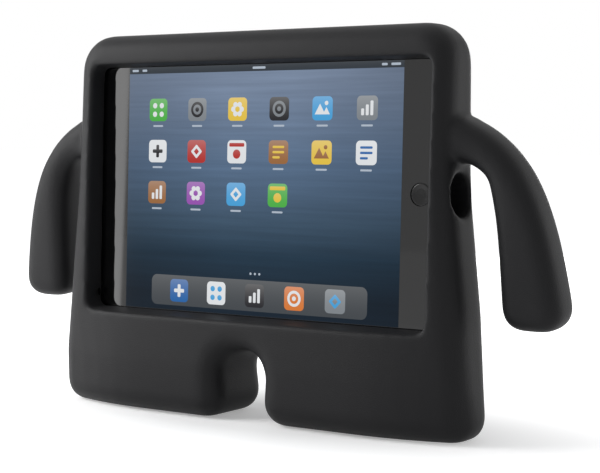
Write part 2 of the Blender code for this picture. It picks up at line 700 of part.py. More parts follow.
def sockets():
    end = INNER_HALF_LENGTH - FIT_GAP
    middle = INNER_BACK - SOCKET_THICKNESS / 2
    bm = block(SOCKET_LENGTH, SOCKET_THICKNESS, SOCKET_WIDTH)
    place = (end - SOCKET_LENGTH / 2, middle, 0.0)
    socket = add_object("charging_socket", bm, parts, steel, tablet, place)
    inner_length = SOCKET_LENGTH - SOCKET_WALL
    hollow = block(2 * inner_length, SOCKET_THICKNESS - 2 * SOCKET_WALL, SOCKET_WIDTH - 2 * SOCKET_WALL)
    tongue = block(2 * inner_length, SOCKET_TONGUE_THICKNESS, SOCKET_TONGUE_WIDTH)
    cut = add_cutter("socket_hollow", hollow, tablet, (end, middle, 0.0))
    keep = add_cutter("socket_tongue", tongue, tablet, (end - SOCKET_LENGTH, middle, 0.0))
    boolean(cut, keep)
    boolean(socket, cut)
    side = -INNER_HALF_LENGTH + FIT_GAP
    low = HEADPHONE_FROM_BOTTOM - TABLET_WIDTH / 2
    barrel = add_object("headphone_socket", rod(HEADPHONE_RADIUS, HEADPHONE_LENGTH, "X"), parts,
                        black_plastic, tablet, (side + HEADPHONE_LENGTH / 2, KEY_DEPTH, low))
    bore = rod(HEADPHONE_BORE_RADIUS, 1.8 * HEADPHONE_LENGTH, "X", segments=16)
    boolean(barrel, add_cutter("headphone_bore", bore, tablet, (side, KEY_DEPTH, low)))
    smooth(barrel)


def speakers():
    depth = INNER_BACK - PANEL_FRONT
    for name, side in (("speaker_upper", 1), ("speaker_lower", -1)):
        bm = block(SPEAKER_LENGTH, depth, SPEAKER_WIDTH)
        place = (INNER_HALF_LENGTH - FIT_GAP - SPEAKER_LENGTH / 2, KEY_DEPTH, side * SPEAKER_FROM_MIDDLE)
        add_object(name, bm, parts, black_plastic, tablet, place)


clear_scene()
parts = make_collection("kids_tablet_case")
cutters = make_collection("cutters")

foam = make_material("foam", (0.022, 0.022, 0.024), 0.72)
dark_metal = make_material("dark_metal", (0.050, 0.052, 0.056), 0.38, 1.0)
black_glass = make_material("black_glass", (0.008, 0.008, 0.009), 0.05)
screen = make_material("screen", (0.060, 0.110, 0.200), 0.25)
black_plastic = make_material("black_plastic", (0.012, 0.012, 0.013), 0.30)
steel = make_material("steel", (0.560, 0.560, 0.580), 0.30, 1.0)
pouch = make_material("pouch", (0.180, 0.180, 0.190), 0.45)
board = make_material("board", (0.010, 0.070, 0.035), 0.50)

tablet = bpy.data.objects.new("tablet_frame", None)
tablet.location = (0.0, GLASS_Y, SCREEN_HEIGHT_ABOVE_FLOOR)
tablet.rotation_euler = (-TABLET_LEAN, 0.0, 0.0)
cutters.objects.link(tablet)

foam_case()
rear_shell()
front_glass()
display_panel()
home_button()
edge_buttons()
batteries()
logic_board()
cameras()
sockets()
speakers()
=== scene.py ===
# Looks of the foam case and the tablet in it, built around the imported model.
# Metres, +Z up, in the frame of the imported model.

import math

import bmesh
import bpy
from mathutils import Matrix, Vector


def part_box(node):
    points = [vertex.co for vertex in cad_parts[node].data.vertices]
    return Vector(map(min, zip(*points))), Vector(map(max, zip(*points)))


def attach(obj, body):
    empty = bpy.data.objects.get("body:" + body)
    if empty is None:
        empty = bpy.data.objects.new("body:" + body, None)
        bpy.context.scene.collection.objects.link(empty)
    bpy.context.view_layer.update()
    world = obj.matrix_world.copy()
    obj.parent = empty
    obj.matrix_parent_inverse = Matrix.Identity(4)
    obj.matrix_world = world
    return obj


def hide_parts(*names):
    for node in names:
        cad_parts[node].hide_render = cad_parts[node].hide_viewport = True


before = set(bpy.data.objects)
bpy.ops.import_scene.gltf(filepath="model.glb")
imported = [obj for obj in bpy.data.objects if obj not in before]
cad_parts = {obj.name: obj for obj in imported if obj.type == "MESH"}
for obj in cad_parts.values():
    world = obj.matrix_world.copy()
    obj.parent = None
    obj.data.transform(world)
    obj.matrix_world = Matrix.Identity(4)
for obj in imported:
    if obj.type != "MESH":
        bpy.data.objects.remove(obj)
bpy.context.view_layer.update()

# Tablet plane, as the solids have it
TABLET_LEAN = math.radians(2.17)
GLASS_THICKNESS = 0.0010
PICTURE_WIDTH = 0.1605
PICTURE_HEIGHT = 0.1204

# Foam surface
MERGE_DISTANCE = 0.000001
FOAM_VOXEL = 0.0008
FOAM_SMOOTHING_STEPS = 30
FOAM_SHARE_KEPT = 0.38

# Arms, smoothed more than the frame of the case
ARM_START = 0.1120
ARM_BLEND = 0.0040
ARM_FLOOR = 0.0420
ARM_SMOOTHING_STEPS = 60

# Inner bends of the arms, smoothed most
BEND_X = 0.1215
BEND_Z = 0.1215
BEND_RADIUS = 0.0170
BEND_SMOOTHING_STEPS = 160

# Layers of the picture, each a little nearer the eye than the one before
LAYER_STEP = 0.00003
LAYER_SUNK = 0.00002
PICTURE_LAYER = 1
BAR_LAYER = 2
LABEL_LAYER = 3
TILE_LAYER = 4
MOTIF_LAYER = 5

# Front of the lit picture
PICTURE_FRONT = (0.004, 0.004, 0.004)
PICTURE_SPECULAR = 0.06

# Colours of the picture's background at heights from 0 to 1
PICTURE_STOPS = (
    (0.08, (0.006, 0.015, 0.028)),
    (0.24, (0.013, 0.034, 0.060)),
    (0.37, (0.042, 0.078, 0.125)),
    (0.60, (0.090, 0.146, 0.236)),
    (0.95, (0.182, 0.236, 0.335)),
)
RIPPLE_STRETCH = (14.0, 14.0, 420.0)
RIPPLE_LOW = 0.55
RIPPLE_HIGH = 1.45
RIPPLE_SHARE = 0.55

# Dimming of the picture towards its two ends
DIMMING_START = 0.02
DIMMED_SHARE = 0.70

# Camera, measured from the middle of the glass
CAMERA_OFFSET = Vector((0.44587, -0.61826, 0.02790))
CAMERA_AZIMUTH = math.radians(34.24)
CAMERA_ELEVATION = math.radians(3.75)
CAMERA_LENS = 95.65
CAMERA_SENSOR = 36.0
CAMERA_CLIP_START = 0.05
CAMERA_CLIP_END = 50.0

# Studio: even light from all round, and a floor that turns white away from the object
AMBIENT = 0.20
AMBIENT_COLOUR = (0.95, 0.97, 1.0, 1.0)
WHITE = (1.0, 1.0, 1.0, 1.0)
FLOOR_HALF = 8.0
FLOOR_COLOUR = (0.90, 0.90, 0.90)
FLOOR_ROUGHNESS = 0.9
FLOOR_GLOW_NEAR = 0.30
FLOOR_GLOW_FAR = 1.0
GLOW_NEAR_RADIUS = 0.030
GLOW_FAR_RADIUS = 0.110
GLOW_STRETCH = 0.42

# Softboxes: name, place, aim, width, height and power in watts
SOFTBOXES = (
    ("left_panel", (-0.447, -0.228, 0.262), (-0.007, 0.022, 0.262), 0.28, 0.52, 1.40),
    ("key_softbox", (-0.50, -0.34, 0.42), (-0.09, 0.0, 0.10), 0.36, 0.34, 1.9),
    ("top_softbox", (-0.20, -0.10, 1.30), (0.0, 0.0, 0.0), 1.10, 1.10, 1.4),
    ("right_softbox", (0.62, 0.60, 0.26), (0.10, 0.02, 0.10), 0.30, 0.40, 0.80),
    ("back_softbox", (-0.35, 1.00, 0.20), (0.0, 0.0, 0.10), 0.70, 0.30, 3.2),
)


# Meshes

def new_piece(name, bm, materials):
    """A finished mesh as a piece that rides on the case with the tablet."""
    mesh = bpy.data.meshes.new(name)
    bm.to_mesh(mesh)
    bm.free()
    piece = bpy.data.objects.new(name, mesh)
    bpy.context.scene.collection.objects.link(piece)
    for material in materials:
        mesh.materials.append(material)
    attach(piece, "case_and_tablet")
    return piece


def merged_copy(node):
    """A copy of a node's mesh with its loose triangles joined up."""
    bm = bmesh.new()
    bm.from_mesh(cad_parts[node].data)
    bmesh.ops.remove_doubles(bm, verts=bm.verts, dist=MERGE_DISTANCE)
    return bm


def apply_modifiers(piece):
    """Keep the shape that a piece's modifiers give, without the modifiers."""
    graph = bpy.context.evaluated_depsgraph_get()
    shaped = bpy.data.meshes.new_from_object(piece.evaluated_get(graph))
    rough = piece.data
    piece.modifiers.clear()
    piece.data = shaped
    bpy.data.meshes.remove(rough)
    shaped.name = piece.name


def tablet_plane():
    """The matrix from the plane of the glass (x right, y up, z out of the screen) to the frame."""
    low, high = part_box("front_glass")
    right = Vector((1.0, 0.0, 0.0))
    up = Vector((0.0, math.sin(TABLET_LEAN), math.cos(TABLET_LEAN)))
    out = Vector((0.0, -math.cos(TABLET_LEAN), math.sin(TABLET_LEAN)))
    middle = (Vector(low) + Vector(high)) / 2 + out * (GLASS_THICKNESS / 2)
    turned = Matrix((right, up, out)).transposed().to_4x4()
    return Matrix.Translation(middle) @ turned


# Shader nodes

def add_node(tree, kind, **values):
    """A node whose inputs are set or linked by name, with _ standing for a space."""
    node = tree.nodes.new(kind)
    for name, value in values.items():
        socket = node.inputs[name.replace("_", " ")]
        if isinstance(value, bpy.types.NodeSocket):
            tree.links.new(value, socket)
        else:
            socket.default_value = value
    return node


def add_math(tree, operation, first, second=0.0):
    node = tree.nodes.new("ShaderNodeMath")
    node.operation = operation
    for socket, value in zip(node.inputs, (first, second)):
        if isinstance(value, bpy.types.NodeSocket):
            tree.links.new(value, socket)
        else:
            socket.default_value = value
    return node.outputs[0]


def add_blend(tree, share, first, second, kind="MIX"):
    """A colour between two others."""
    node = tree.nodes.new("ShaderNodeMix")
    node.data_type = "RGBA"
    node.blend_type = kind
    colours = [socket for socket in node.inputs if socket.type == "RGBA"]
    for socket, value in ((node.inputs[0], share), (colours[0], first), (colours[1], second)):
        if isinstance(value, bpy.types.NodeSocket):
            tree.links.new(value, socket)
        elif socket.type == "RGBA":
            socket.default_value = (*value, 1.0)
        else:
            socket.default_value = value
    return next(socket for socket in node.outputs if socket.type == "RGBA")


def new_group(name, inputs, outputs):
    """A shader node group with its sockets, given as (name, kind, value)."""
    group = bpy.data.node_groups.new(name, "ShaderNodeTree")
    for label, kind, value in inputs:
        socket = group.interface.new_socket(label, in_out="INPUT", socket_type=kind)
        socket.default_value = value
    for label, kind in outputs:
        group.interface.new_socket(label, in_out="OUTPUT", socket_type=kind)
    entry = group.nodes.new("NodeGroupInput")
    leave = group.nodes.new("NodeGroupOutput")
    return group, entry, leave


def use_group(tree, group, **values):
    node = tree.nodes.new("ShaderNodeGroup")
    node.node_tree = group
    for name, value in values.items():
        socket = node.inputs[name.replace("_", " ")]
        if isinstance(value, bpy.types.NodeSocket):
            tree.links.new(value, socket)
        elif socket.type == "RGBA":
            socket.default_value = (*value, 1.0)
        else:
            socket.default_value = value
    return node


LUMP_SCALE = 0.22
RUBBED_FROM = 0.52
RUBBED_TO = 0.62
RUB_PATCHES = 160.0
TILE_GLOW_POWER = 1.6


def make_grain():
    """Fine moulded grain: small cells with softer lumps under them."""
    group, entry, leave = new_group(
        "fine_grain",
        [("Cells per metre", "NodeSocketFloat", 2000.0), ("Lump share", "NodeSocketFloat", 0.4)],
        [("Height", "NodeSocketFloat")],
    )
    place = group.nodes.new("ShaderNodeTexCoord").outputs["Object"]
    cells = add_node(group, "ShaderNodeTexVoronoi", Vector=place, Scale=entry.outputs["Cells per metre"])
    wide = add_math(group, "MULTIPLY", entry.outputs["Cells per metre"], LUMP_SCALE)
    lumps = add_node(group, "ShaderNodeTexNoise", Vector=place, Scale=wide, Detail=3.0)
    raised = add_math(group, "MULTIPLY", lumps.outputs["Fac"], entry.outputs["Lump share"])
    height = add_math(group, "ADD", cells.outputs["Distance"], raised)
    group.links.new(height, leave.inputs["Height"])
    return group


def make_drift():
    """Slow changes of tone over a surface, as handling and moulding leave."""
    group, entry, leave = new_group(
        "tone_drift",
        [
            ("Colour", "NodeSocketColor", (0.5, 0.5, 0.5, 1.0)),
            ("Patches per metre", "NodeSocketFloat", 12.0),
            ("Amount", "NodeSocketFloat", 0.15),
        ],
        [("Colour", "NodeSocketColor"), ("Mask", "NodeSocketFloat")],
    )
    place = group.nodes.new("ShaderNodeTexCoord").outputs["Object"]
    noise = add_node(
        group, "ShaderNodeTexNoise", Vector=place, Scale=entry.outputs["Patches per metre"],
        Detail=4.0, Roughness=0.6,
    )
    centred = add_math(group, "SUBTRACT", noise.outputs["Fac"], 0.5)
    swing = add_math(group, "MULTIPLY", centred, entry.outputs["Amount"])
    level = add_math(group, "MULTIPLY_ADD", swing, 2.0)
    level.node.inputs[2].default_value = 1.0
    shade = add_node(group, "ShaderNodeCombineColor", Red=level, Green=level, Blue=level)
    toned = add_blend(group, 1.0, entry.outputs["Colour"], shade.outputs["Color"], "MULTIPLY")
    group.links.new(toned, leave.inputs["Colour"])
    group.links.new(noise.outputs["Fac"], leave.inputs["Mask"])
    return group


def make_rubbed_edges():
    """Edges that handling has polished and lightened."""
    group, entry, leave = new_group(
        "rubbed_edges",
        [
            ("Colour", "NodeSocketColor", (0.5, 0.5, 0.5, 1.0)),
            ("Rubbed colour", "NodeSocketColor", (0.8, 0.8, 0.8, 1.0)),
            ("Amount", "NodeSocketFloat", 0.3),
        ],
        [("Colour", "NodeSocketColor"), ("Mask", "NodeSocketFloat")],
    )
    place = group.nodes.new("ShaderNodeTexCoord").outputs["Object"]
    shape = group.nodes.new("ShaderNodeNewGeometry").outputs["Pointiness"]
    edge = add_node(group, "ShaderNodeMapRange", Value=shape, From_Min=RUBBED_FROM, From_Max=RUBBED_TO)
    noise = add_node(group, "ShaderNodeTexNoise", Vector=place, Scale=RUB_PATCHES, Detail=3.0)
    broken = add_math(group, "MULTIPLY", edge.outputs["Result"], noise.outputs["Fac"])
    mask = add_math(group, "MULTIPLY", broken, entry.outputs["Amount"])
    mixed = add_blend(group, mask, entry.outputs["Colour"], entry.outputs["Rubbed colour"])
    group.links.new(mixed, leave.inputs["Colour"])
    group.links.new(mask, leave.inputs["Mask"])
    return group


def make_lit_tile():
    """The glow of a small picture tile: lighter towards its top, by its UV map."""
    group, entry, leave = new_group(
        "lit_tile",
        [("Colour", "NodeSocketColor", (0.5, 0.5, 0.5, 1.0)), ("Lift", "NodeSocketFloat", 0.25)],
        [("Colour", "NodeSocketColor")],
    )
    across = group.nodes.new("ShaderNodeUVMap")
    across.uv_map = "tile"
    parts = add_node(group, "ShaderNodeSeparateXYZ", Vector=across.outputs["UV"])
    rise = add_math(group, "POWER", parts.outputs["Y"], TILE_GLOW_POWER)
    share = add_math(group, "MULTIPLY", rise, entry.outputs["Lift"])
    glow = add_blend(group, share, entry.outputs["Colour"], (1.0, 1.0, 1.0))
    group.links.new(glow, leave.inputs["Colour"])
    return group


grain = make_grain()
drift = make_drift()
rubbed_edges = make_rubbed_edges()
lit_tile = make_lit_tile()


# Materials

def new_material(name, colour, roughness, specular=0.5, metallic=0.0):
    """A plain surface, its node tree and its shader."""
    material = bpy.data.materials.new(name)
    material.use_nodes = True
    tree = material.node_tree
    shader = tree.nodes["Principled BSDF"]
    shader.inputs["Base Color"].default_value = (*colour, 1.0)
    shader.inputs["Roughness"].default_value = roughness
    shader.inputs["Specular IOR Level"].default_value = specular
    shader.inputs["Metallic"].default_value = metallic
    return material, tree, shader


def add_relief(tree, shader, height, depth, strength=1.0):
    bump = add_node(tree, "ShaderNodeBump", Height=height, Distance=depth, Strength=strength)
    tree.links.new(bump.outputs["Normal"], shader.inputs["Normal"])


def vary_roughness(tree, shader, mask, low, high):
    spread = add_node(tree, "ShaderNodeMapRange", Value=mask, To_Min=low, To_Max=high)
    tree.links.new(spread.outputs["Result"], shader.inputs["Roughness"])


def moulded(name, colour, rubbed, roughness, cells, depth, specular=0.5):
    """Moulded foam or plastic: drifting tone, rubbed edges and a fine grain."""
    material, tree, shader = new_material(name, colour, sum(roughness) / 2, specular)
    toned = use_group(tree, drift, Colour=colour, Amount=0.12)
    worn = use_group(tree, rubbed_edges, Colour=toned.outputs["Colour"], Rubbed_colour=rubbed)
    tree.links.new(worn.outputs["Colour"], shader.inputs["Base Color"])
    vary_roughness(tree, shader, toned.outputs["Mask"], *roughness)
    texture = use_group(tree, grain, Cells_per_metre=cells)
    add_relief(tree, shader, texture.outputs["Height"], depth)
    return material


def bare_metal(name, colour, roughness, brushed_along):
    """Metal with fine brushing along one axis."""
    material, tree, shader = new_material(name, colour, sum(roughness) / 2, metallic=1.0)
    toned = use_group(tree, drift, Colour=colour, Amount=0.10, Patches_per_metre=30.0)
    tree.links.new(toned.outputs["Colour"], shader.inputs["Base Color"])
    place = tree.nodes.new("ShaderNodeTexCoord").outputs["Object"]
    stretched = add_node(tree, "ShaderNodeMapping", Vector=place, Scale=brushed_along)
    lines = add_node(tree, "ShaderNodeTexNoise", Vector=stretched.outputs["Vector"], Scale=1.0, Detail=4.0)
    vary_roughness(tree, shader, lines.outputs["Fac"], *roughness)
    add_relief(tree, shader, lines.outputs["Fac"], 0.00001, 0.5)
    return material


foam = moulded(
    "foam", colour=(0.016, 0.016, 0.0172), rubbed=(0.019, 0.019, 0.0203), roughness=(0.46, 0.58),
    cells=1900.0, depth=0.00006, specular=0.16)
black_plastic = moulded(
    "black_plastic", colour=(0.010, 0.010, 0.011), rubbed=(0.03, 0.03, 0.03), roughness=(0.24, 0.36),
    cells=4200.0, depth=0.00001)
dished_plastic = moulded(
    "dished_plastic", colour=(0.006, 0.006, 0.0065), rubbed=(0.012, 0.012, 0.012), roughness=(0.10, 0.16),
    cells=5200.0, depth=0.000004, specular=0.30)
dark_metal = bare_metal(
    "dark_metal", colour=(0.050, 0.052, 0.056), roughness=(0.32, 0.42),
    brushed_along=(900.0, 5200.0, 5200.0))
steel = bare_metal(
    "steel", colour=(0.56, 0.56, 0.58), roughness=(0.22, 0.36),
    brushed_along=(400.0, 6000.0, 6000.0))


def make_black_glass():
    """Cover glass over black paint, with the faint haze of fingers."""
    colour = (0.004, 0.004, 0.0045)
    material, tree, shader = new_material("black_glass", colour, 0.03)
    toned = use_group(tree, drift, Colour=colour, Amount=0.3, Patches_per_metre=20.0)
    tree.links.new(toned.outputs["Colour"], shader.inputs["Base Color"])
    vary_roughness(tree, shader, toned.outputs["Mask"], 0.015, 0.06)
    return material


def make_pouch():
    """Foil of a battery, with the soft dents of its stacked cells."""
    colour = (0.18, 0.18, 0.19)
    material, tree, shader = new_material("pouch", colour, 0.4, metallic=0.3)
    toned = use_group(tree, drift, Colour=colour, Amount=0.2, Patches_per_metre=60.0)
    tree.links.new(toned.outputs["Colour"], shader.inputs["Base Color"])
    vary_roughness(tree, shader, toned.outputs["Mask"], 0.3, 0.5)
    add_relief(tree, shader, toned.outputs["Mask"], 0.0004)
    return material


def make_board():
    """A dark green board with lighter copper tracks under its lacquer."""
    lacquer = (0.008, 0.060, 0.028)
    track_green = (0.02, 0.12, 0.05)
    material, tree, shader = new_material("board", lacquer, 0.35)
    place = tree.nodes.new("ShaderNodeTexCoord").outputs["Object"]
    cells = add_node(tree, "ShaderNodeTexVoronoi", Vector=place, Scale=420.0)
    cells.distance = "MANHATTAN"
    tracks = add_node(
        tree, "ShaderNodeMapRange", Value=cells.outputs["Distance"], From_Min=0.30, From_Max=0.34)
    tinted = add_blend(tree, tracks.outputs["Result"], lacquer, track_green)
    tree.links.new(tinted, shader.inputs["Base Color"])
    vary_roughness(tree, shader, cells.outputs["Distance"], 0.28, 0.45)
    add_relief(tree, shader, tracks.outputs["Result"], 0.00003)
    return material


black_glass = make_black_glass()
pouch = make_pouch()
board = make_board()


def make_glow(name, colour, lift):
    """A lit patch of the picture. Its light comes from behind a smooth front."""
    material, tree, shader = new_material(name, PICTURE_FRONT, 0.12, PICTURE_SPECULAR)
    shader.inputs["Emission Strength"].default_value = 1.0
    glow = use_group(tree, lit_tile, Colour=colour, Lift=lift)
    tree.links.new(glow.outputs["Colour"], shader.inputs["Emission Color"])
    return material


def as_grey(tree, spread):
    level = spread.outputs["Result"]
    return add_node(tree, "ShaderNodeCombineColor", Red=level, Green=level, Blue=level).outputs["Color"]


def make_picture_background(low, high):
    """Slate blue above, navy below, with faint level bands like still water."""
    material, tree, shader = new_material("picture_background", PICTURE_FRONT, 0.10, PICTURE_SPECULAR)
    shader.inputs["Emission Strength"].default_value = 1.0
    place = tree.nodes.new("ShaderNodeTexCoord").outputs["Object"]
    place_parts = add_node(tree, "ShaderNodeSeparateXYZ", Vector=place)
    level = add_node(
        tree, "ShaderNodeMapRange", Value=place_parts.outputs["Z"], From_Min=low, From_Max=high)
    flattened = add_node(tree, "ShaderNodeMapping", Vector=place, Scale=RIPPLE_STRETCH)
    ripples = add_node(
        tree, "ShaderNodeTexNoise", Vector=flattened.outputs["Vector"], Scale=1.0, Detail=5.0)
    ramp = tree.nodes.new("ShaderNodeValToRGB")
    tree.links.new(level.outputs["Result"], ramp.inputs["Fac"])
    stops = ramp.color_ramp.elements
    for stop, (position, colour) in zip(stops, (PICTURE_STOPS[0], PICTURE_STOPS[-1])):
        stop.position = position
        stop.color = (*colour, 1.0)
    for position, colour in PICTURE_STOPS[1:-1]:
        stop = stops.new(position)
        stop.color = (*colour, 1.0)
    wave = add_node(
        tree, "ShaderNodeMapRange", Value=ripples.outputs["Fac"], To_Min=RIPPLE_LOW, To_Max=RIPPLE_HIGH)
    rippled = add_blend(tree, RIPPLE_SHARE, ramp.outputs["Color"], as_grey(tree, wave), "MULTIPLY")
    across = add_math(tree, "ABSOLUTE", place_parts.outputs["X"])
    fall = add_node(
        tree, "ShaderNodeMapRange", Value=across, From_Min=DIMMING_START, From_Max=PICTURE_WIDTH / 2,
        To_Min=1.0, To_Max=DIMMED_SHARE)
    dimmed = add_blend(tree, 1.0, rippled, as_grey(tree, fall), "MULTIPLY")
    tree.links.new(dimmed, shader.inputs["Emission Color"])
    return material


# Foam case

def arm_share(place):
    """0 on the frame of the case and on its feet, 1 on an arm."""
    if place.z <= ARM_FLOOR:
        return 0.0
    return min((abs(place.x) - ARM_START) / ARM_BLEND, 1.0)


def bend_share(place):
    """1 at the inner bend of an arm, falling to 0 around it."""
    return 1.0 - math.hypot(abs(place.x) - BEND_X, place.z - BEND_Z) / BEND_RADIUS


def smooth_by_share(piece, name, share_at, steps):
    """Smooth a piece where its share is above 0."""
    group = piece.vertex_groups.new(name=name)
    for corner in piece.data.vertices:
        share = share_at(corner.co)
        if share > 0.0:
            group.add([corner.index], share, "REPLACE")
    blend = piece.modifiers.new("blend_" + name, "SMOOTH")
    blend.iterations = steps
    blend.vertex_group = group.name


def foam_body():
    """The case with an even, softened skin."""
    piece = new_piece("foam_body", merged_copy("case_body"), materials=[foam])
    skin = piece.modifiers.new("even_skin", "REMESH")
    skin.mode = "VOXEL"
    skin.voxel_size = FOAM_VOXEL
    soften = piece.modifiers.new("soften", "SMOOTH")
    soften.iterations = FOAM_SMOOTHING_STEPS
    apply_modifiers(piece)
    smooth_by_share(piece, "arms", arm_share, ARM_SMOOTHING_STEPS)
    smooth_by_share(piece, "bends", bend_share, BEND_SMOOTHING_STEPS)
    thin = piece.modifiers.new("fewer_faces", "DECIMATE")
    thin.ratio = FOAM_SHARE_KEPT
    apply_modifiers(piece)
    piece.vertex_groups.clear()
    piece.data.shade_smooth()
    piece.data.materials.clear()
    piece.data.materials.append(foam)
    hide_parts("case_body")


# Picture on the screen

DISC_SIDES = 28
SMALL_DISC_SIDES = 18
CORNER_SEGMENTS = 5


def mark_uv(bm, faces, low, size):
    """UV from 0 to 1 over one tile, in the plane of the glass."""
    layer = bm.loops.layers.uv.get("tile") or bm.loops.layers.uv.new("tile")
    for face in faces:
        for loop in face.loops:
            loop[layer].uv = ((loop.vert.co.x - low[0]) / size[0], (loop.vert.co.y - low[1]) / size[1])


def add_plate(bm, centre, size, layer, corner=0.0, tint=0, turn=0.0):
    """A thin plate of the picture, rounded at its corners, in the plane of the glass."""
    top = LAYER_STEP * layer
    thickness = top + LAYER_SUNK
    spread = Matrix.Diagonal((size[0], size[1], thickness, 1.0))
    place = Matrix.Translation((centre[0], centre[1], top - thickness / 2))
    made = bmesh.ops.create_cube(bm, size=1.0, matrix=place @ Matrix.Rotation(turn, 4, "Z") @ spread)
    corners = made["verts"]
    if corner:
        upright = [
            edge for edge in {edge for vert in corners for edge in vert.link_edges}
            if abs(edge.verts[0].co.z - edge.verts[1].co.z) > thickness / 2
        ]
        rounded = bmesh.ops.bevel(
            bm, geom=upright, offset=corner, segments=CORNER_SEGMENTS, profile=0.5, affect="EDGES",
            material=-1)
        corners = [vert for vert in corners if vert.is_valid] + rounded["verts"]
    colour_faces(bm, corners, centre, size, tint)


def add_disc(bm, centre, radius, layer, tint=0, sides=DISC_SIDES):
    """A thin disc of the picture, or a shape of few sides."""
    top = LAYER_STEP * layer
    thickness = top + LAYER_SUNK
    place = Matrix.Translation((centre[0], centre[1], top - thickness / 2))
    made = bmesh.ops.create_cone(
        bm, cap_ends=True, segments=sides, radius1=radius, radius2=radius, depth=thickness, matrix=place)
    colour_faces(bm, made["verts"], centre, (2 * radius, 2 * radius), tint)


def colour_faces(bm, corners, centre, size, tint):
    faces = {face for vert in corners for face in vert.link_faces}
    for face in faces:
        face.material_index = tint
    mark_uv(bm, faces, (centre[0] - size[0] / 2, centre[1] - size[1] / 2), size)


def picture_piece(name, bm, materials):
    bmesh.ops.transform(bm, matrix=plane, verts=bm.verts)
    bmesh.ops.recalc_face_normals(bm, faces=bm.faces)
    return new_piece(name, bm, materials=materials)


plane = tablet_plane()
foam_body()

background = bmesh.new()
add_plate(background, (0.0, 0.0), (PICTURE_WIDTH, PICTURE_HEIGHT), PICTURE_LAYER)
picture_low = plane.translation.z - PICTURE_HEIGHT / 2
picture_high = picture_low + PICTURE_HEIGHT
picture_piece("screen_picture", background, [make_picture_background(picture_low, picture_high)])


# Tiles, their motifs and the bars of the picture

TILE_SIZE = 0.0112
TILE_CORNER = 0.0021
COLUMNS = 6
COLUMN_PITCH = 0.0245
ROW_PITCH = 0.0205
TOP_ROW = 0.0445
LABEL_SIZE = (0.0062, 0.0009)
LABEL_DROP = 0.0080
LABEL_CORNER = 0.0004
TRAY_SIZE = (0.1270, 0.0150)
TRAY_CORNER = 0.0032
TRAY_HEIGHT = -0.0505
TRAY_PITCH = 0.0230
PAGE_DOT_RADIUS = 0.0006
PAGE_DOT_PITCH = 0.0026
PAGE_DOT_RISE = 0.0105
PAGE_DOT_SIDES = 12
HEADER_HEIGHT = 0.0032
HEADER_MARK_HEIGHT = 0.0011

# Marks in the header bar: place along it and length
HEADER_MARKS = (
    (-0.0765, 0.0040), (-0.0705, 0.0030), (0.0, 0.0075), (0.0700, 0.0030), (0.0760, 0.0050),
)

TILE_COLOURS = {
    "leaf": (0.070, 0.400, 0.060),
    "stone": (0.200, 0.220, 0.240),
    "sun": (0.720, 0.500, 0.060),
    "coal": (0.022, 0.022, 0.026),
    "paper": (0.700, 0.720, 0.740),
    "brick": (0.420, 0.030, 0.025),
    "clay": (0.300, 0.130, 0.045),
    "plum": (0.290, 0.080, 0.400),
    "sky": (0.060, 0.330, 0.640),
    "sea": (0.020, 0.120, 0.360),
    "peach": (0.640, 0.180, 0.035),
}
TINTS = list(TILE_COLOURS)


# Motifs, in shares of their tile's size

def motif_ring(bm, centre, size, layer, front, back):
    add_disc(bm, centre, size * 0.34, layer, front)
    add_disc(bm, centre, size * 0.22, layer + 1, back)
    add_disc(bm, centre, size * 0.10, layer + 2, front)


def motif_lines(bm, centre, size, layer, front, back):
    for step, length in ((0.22, 0.60), (0.0, 0.60), (-0.22, 0.38)):
        place = (centre[0] - size * (0.60 - length) / 2, centre[1] + size * step)
        add_plate(bm, place, (size * length, size * 0.10), layer, size * 0.045, front)


def motif_hills(bm, centre, size, layer, front, back):
    add_disc(bm, (centre[0] - size * 0.12, centre[1] - size * 0.10), size * 0.30, layer, front, 3)
    add_disc(bm, (centre[0] + size * 0.20, centre[1] - size * 0.15), size * 0.20, layer + 1, front, 3)
    add_disc(bm, (centre[0] + size * 0.20, centre[1] + size * 0.22), size * 0.09, layer, front)


def motif_steps(bm, centre, size, layer, front, back):
    for place, tall in ((-0.22, 0.28), (0.0, 0.44), (0.22, 0.60)):
        middle = (centre[0] + size * place, centre[1] + size * (tall - 0.60) / 2)
        add_plate(bm, middle, (size * 0.14, size * tall), layer, size * 0.04, front)


def motif_petals(bm, centre, size, layer, front, back):
    for index in range(6):
        angle = index * math.pi / 3
        place = (centre[0] + size * 0.22 * math.cos(angle), centre[1] + size * 0.22 * math.sin(angle))
        add_disc(bm, place, size * 0.12, layer, front, SMALL_DISC_SIDES)
    add_disc(bm, centre, size * 0.12, layer + 1, back, SMALL_DISC_SIDES)


def motif_diamond(bm, centre, size, layer, front, back):
    add_plate(bm, centre, (size * 0.44, size * 0.44), layer, size * 0.05, front, math.pi / 4)
    add_plate(bm, centre, (size * 0.20, size * 0.20), layer + 1, size * 0.02, back, math.pi / 4)


def motif_dots(bm, centre, size, layer, front, back):
    for across in (-0.19, 0.19):
        for up in (-0.19, 0.19):
            place = (centre[0] + size * across, centre[1] + size * up)
            add_disc(bm, place, size * 0.12, layer, front, SMALL_DISC_SIDES)


def motif_band(bm, centre, size, layer, front, back):
    band = (centre[0], centre[1] + size * 0.30)
    add_plate(bm, band, (size * 0.80, size * 0.16), layer, size * 0.05, front)
    add_disc(bm, (centre[0], centre[1] - size * 0.10), size * 0.20, layer, front)


def motif_cross(bm, centre, size, layer, front, back):
    add_plate(bm, centre, (size * 0.56, size * 0.16), layer, size * 0.05, front)
    add_plate(bm, centre, (size * 0.16, size * 0.56), layer, size * 0.05, front)


